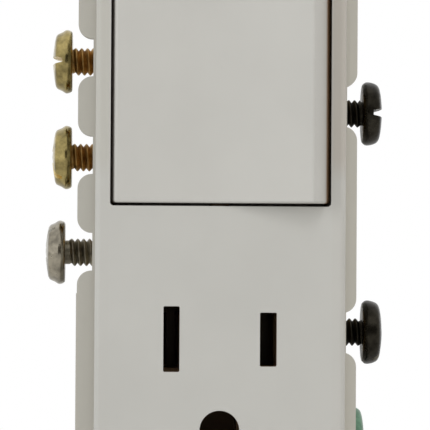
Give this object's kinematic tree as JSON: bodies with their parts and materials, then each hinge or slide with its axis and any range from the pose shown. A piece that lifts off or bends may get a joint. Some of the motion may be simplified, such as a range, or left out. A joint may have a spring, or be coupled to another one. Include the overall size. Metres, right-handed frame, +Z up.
{
  "type": "switch and socket combination",
  "caption": "White rocker switch above a grounded outlet on one steel strap, with terminal screws down both sides.",
  "frame": {"origin": "centre of the strap's back plane, midway between the two box-screw slots", "axes": "+X to the right as seen from the front, the front faces -Y, +Z up along the strap"},
  "size_m": [0.0455, 0.0354, 0.1064],
  "materials": {
    "cover_plastic": "smooth white moulding",
    "rocker_plastic": "smooth white moulding",
    "housing_plastic": "matt moulding",
    "plated_steel": "zinc-plated sheet",
    "contact_brass": "plain stamped brass",
    "contact_silver": "silver-alloy button",
    "plunger_plastic": "plain nylon",
    "spring_steel": "bright wire",
    "screw_brass": "dull brass plating",
    "plated_screw": "dull zinc plating",
    "black_screw": "black oxide",
    "green_screw": "green dye over plating"
  },
  "bodies": {
    "device": {"front_cover": "cover_plastic", "rear_housing": "housing_plastic", "mounting_strap": "plated_steel", "inner_separator": "housing_plastic", "ground_contact": "contact_brass", "ground_contact_rivet": "contact_brass", "neutral_contact": "contact_brass", "hot_strip": "contact_brass", "upper_traveller": "contact_brass", "lower_traveller": "contact_brass", "left_fixed_contact": "contact_silver", "right_fixed_contact": "contact_silver", "assembly_screws": "plated_screw"},
    "rocker_body": {"rocker": "rocker_plastic", "plunger_spring": "spring_steel"},
    "plunger_body": {"plunger": "plunger_plastic"},
    "seesaw": {"contact_arm": "contact_brass", "left_arm_contact": "contact_silver", "right_arm_contact": "contact_silver"},
    "upper_traveller_screw_body": {"upper_traveller_screw": "screw_brass"},
    "lower_traveller_screw_body": {"lower_traveller_screw": "screw_brass"},
    "neutral_screw_body": {"neutral_screw": "plated_screw"},
    "common_screw_body": {"common_screw": "black_screw"},
    "hot_screw_body": {"hot_screw": "black_screw"},
    "ground_screw_body": {"ground_screw": "green_screw"}
  },
  "joints": [
    {"name": "rocker_tilt", "type": "hinge", "parent": "device", "child": "rocker_body", "pos_m": [0, -0.0029, 0.01682], "axis": [0, 0, 1], "range_deg": [0, 15]},
    {"name": "arm_tilt", "type": "hinge", "parent": "device", "child": "seesaw", "pos_m": [0, 0.01144, 0.01555], "axis": [0, 0, 1], "range_deg": [-16, 0]},
    {"name": "plunger_slide", "type": "slide", "parent": "rocker_body", "child": "plunger_body", "axis": [0.1305, 0.9914, 0], "range_m": [-0.0008, 0], "stiffness_N_per_m": 400, "springref_m": 0.002, "deforming": ["plunger_spring"]},
    {"name": "upper_traveller_screw_travel", "type": "slide", "parent": "device", "child": "upper_traveller_screw_body", "axis": [1, 0, 0], "range_m": [0, 0.00382]},
    {"name": "lower_traveller_screw_travel", "type": "slide", "parent": "device", "child": "lower_traveller_screw_body", "axis": [1, 0, 0], "range_m": [0, 0.00382]},
    {"name": "neutral_screw_travel", "type": "slide", "parent": "device", "child": "neutral_screw_body", "axis": [1, 0, 0], "range_m": [0, 0.00463]},
    {"name": "common_screw_travel", "type": "slide", "parent": "device", "child": "common_screw_body", "axis": [-1, 0, 0], "range_m": [0, 0.00345]},
    {"name": "hot_screw_travel", "type": "slide", "parent": "device", "child": "hot_screw_body", "axis": [-1, 0, 0], "range_m": [0, 0.00355]},
    {"name": "ground_screw_travel", "type": "slide", "parent": "device", "child": "ground_screw_body", "axis": [-1, 0, 0], "range_m": [0, 0.0012]}
  ],
  "couplings": [
    {"joint": "arm_tilt", "follows": "rocker_tilt", "ratio": -1.0667}
  ]
}
